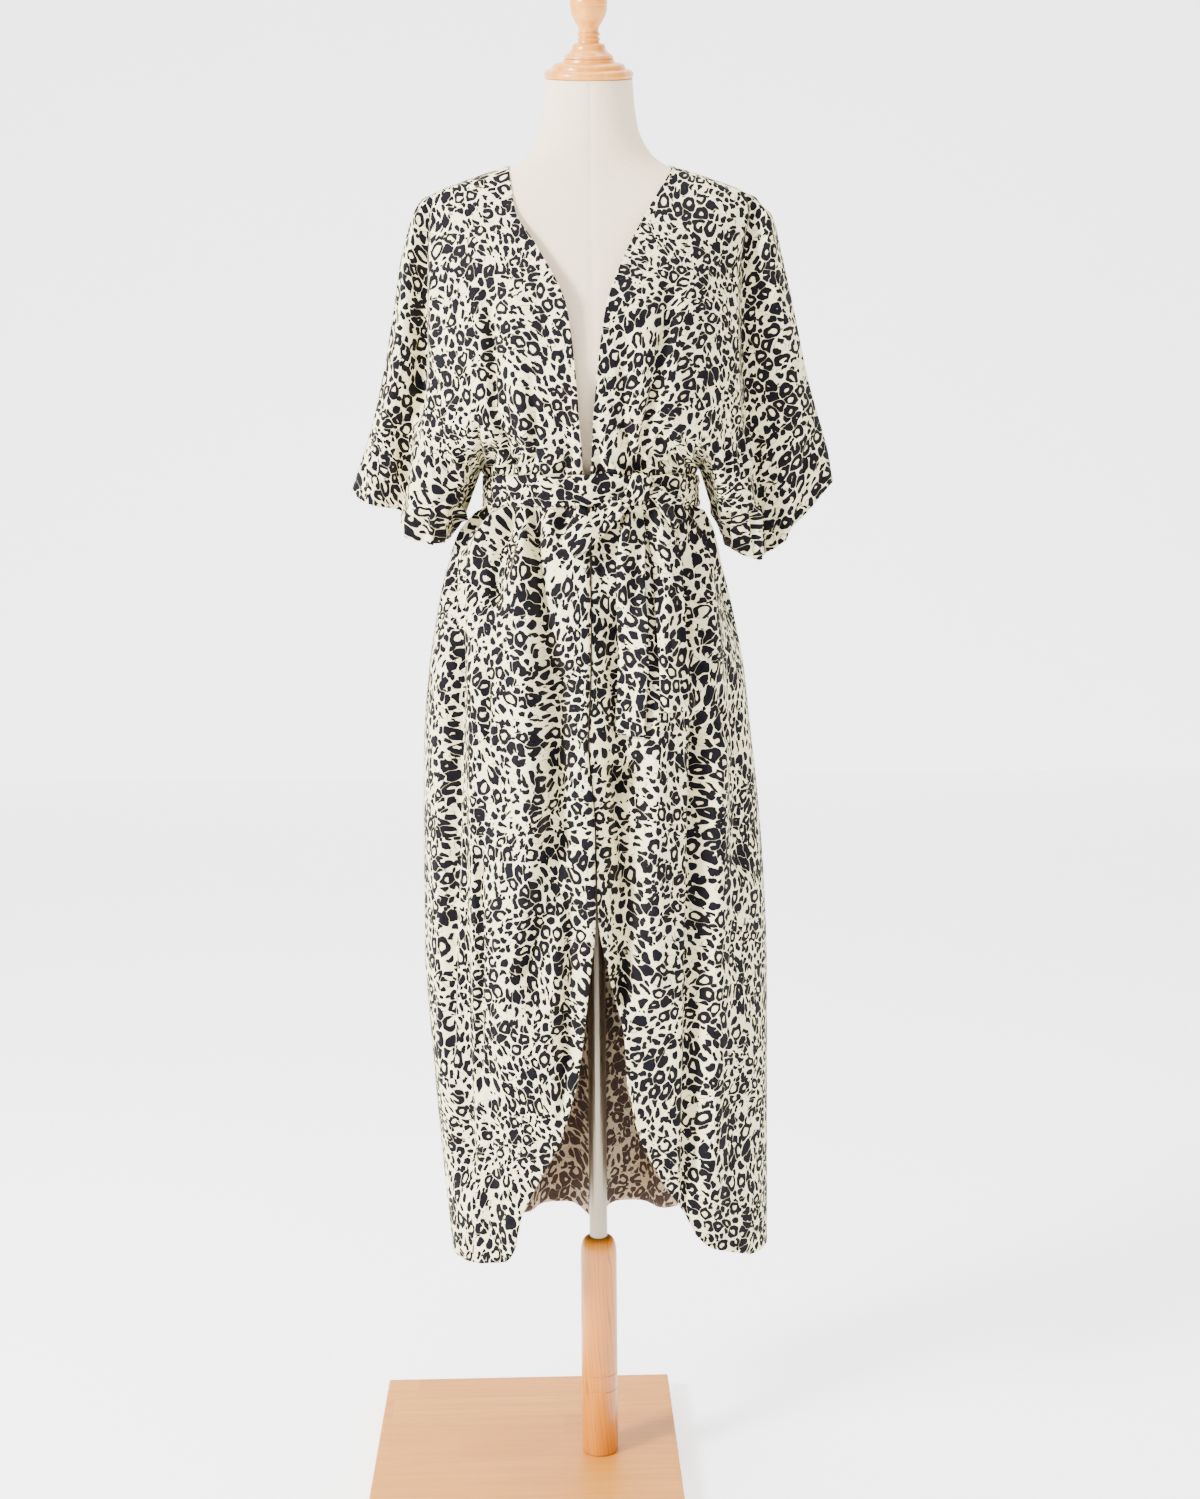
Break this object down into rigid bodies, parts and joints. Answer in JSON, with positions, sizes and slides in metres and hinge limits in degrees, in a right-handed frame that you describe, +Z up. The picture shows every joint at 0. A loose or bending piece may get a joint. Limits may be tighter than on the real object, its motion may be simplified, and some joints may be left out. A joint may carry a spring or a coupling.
{
  "type": "kimono coat on a dress form",
  "caption": "Ankle-length printed kimono coat with short batwing sleeves, open V front and tied sash, on a limbless linen dress form with a turned wood and metal stand.",
  "frame": {"origin": "on the floor under the middle of the whole part's box, on the pole's axis", "axes": "+Z up; -Y is the coat's open front; +X is the right of the front view, the wearer's left"},
  "size_m": [0.5783, 0.41, 1.8198],
  "materials": {
    "printed_crepe": "matte",
    "linen_cover": "matte",
    "turned_wood": "satin",
    "post_wood": "satin",
    "base_wood": "satin",
    "satin_tube": "satin"
  },
  "bodies": {
    "root": {"coat_front_right": "printed_crepe", "coat_front_left": "printed_crepe", "coat_back": "printed_crepe", "sash_band": "printed_crepe", "sash_knot": "printed_crepe", "sash_loop_right": "printed_crepe", "sash_loop_left": "printed_crepe", "sash_tail_long": "printed_crepe", "sash_tail_short": "printed_crepe", "form_torso": "linen_cover", "form_neck_cap": "turned_wood", "form_finial": "turned_wood", "stand_tube": "satin_tube", "stand_post": "post_wood", "stand_base": "base_wood"}
  },
  "joints": []
}
